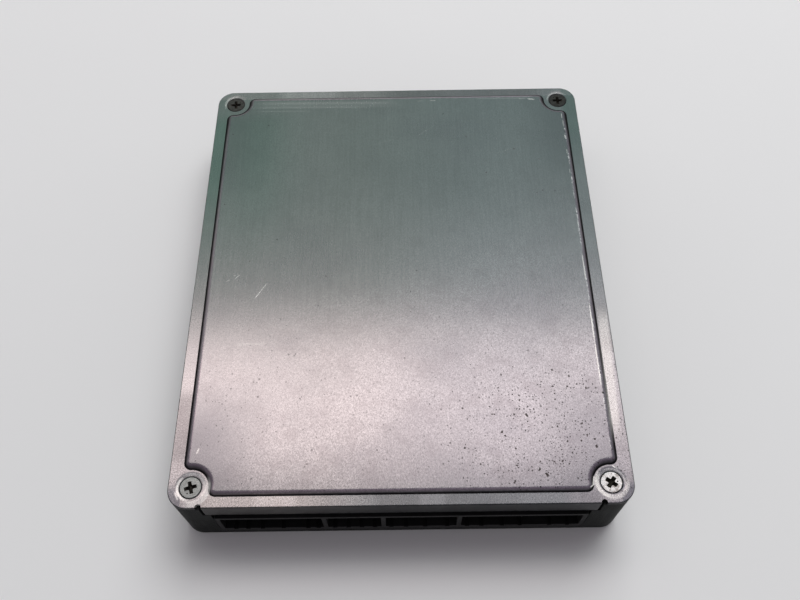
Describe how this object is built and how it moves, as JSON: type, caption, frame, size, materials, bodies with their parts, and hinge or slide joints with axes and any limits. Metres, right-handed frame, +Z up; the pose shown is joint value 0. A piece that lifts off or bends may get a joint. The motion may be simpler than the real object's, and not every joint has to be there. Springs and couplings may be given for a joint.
{
  "type": "engine control unit",
  "caption": "Flat cast control box with a screwed pressed-metal cover and a multi-bay connector header in its front edge.",
  "frame": {"origin": "bottom centre of the whole unit, on the surface that it stands on", "axes": "+Z up through the cover, -Y out of the connector bays, +X to the right seen from the connectors"},
  "size_m": [0.15, 0.1792, 0.031],
  "materials": {
    "cover_aluminium": "brushed",
    "cast_aluminium": "satin",
    "zinc_steel": "satin",
    "black_plastic": "matte",
    "board_laminate": "satin",
    "tinned_brass": "satin",
    "package_black": "matte",
    "can_aluminium": "satin",
    "mica_pad": "matte",
    "spring_steel": "satin"
  },
  "bodies": {
    "root": {"base_housing": "cast_aluminium", "board_screw_back_left": "zinc_steel", "board_screw_back_right": "zinc_steel", "board_screw_front_left": "zinc_steel", "board_screw_front_right": "zinc_steel", "capacitor_1": "can_aluminium", "capacitor_2": "can_aluminium", "capacitor_3": "can_aluminium", "choke_coil": "package_black", "circuit_board": "board_laminate", "clamp_bar": "spring_steel", "clamp_screw_left": "zinc_steel", "clamp_screw_right": "zinc_steel", "connector_header": "black_plastic", "contact_block_1": "tinned_brass", "contact_block_2": "tinned_brass", "contact_block_3": "tinned_brass", "contact_block_4": "tinned_brass", "cover_screw_back_left": "zinc_steel", "cover_screw_back_right": "zinc_steel", "cover_screw_front_left": "zinc_steel", "cover_screw_front_right": "zinc_steel", "crystal": "can_aluminium", "driver_chip_left": "package_black", "driver_chip_right": "package_black", "input_chip": "package_black", "insulating_strip": "mica_pad", "microcontroller": "package_black", "program_memory": "package_black", "top_cover": "cover_aluminium", "transistor_1": "package_black", "transistor_2": "package_black", "transistor_3": "package_black", "transistor_4": "package_black"}
  },
  "joints": []
}
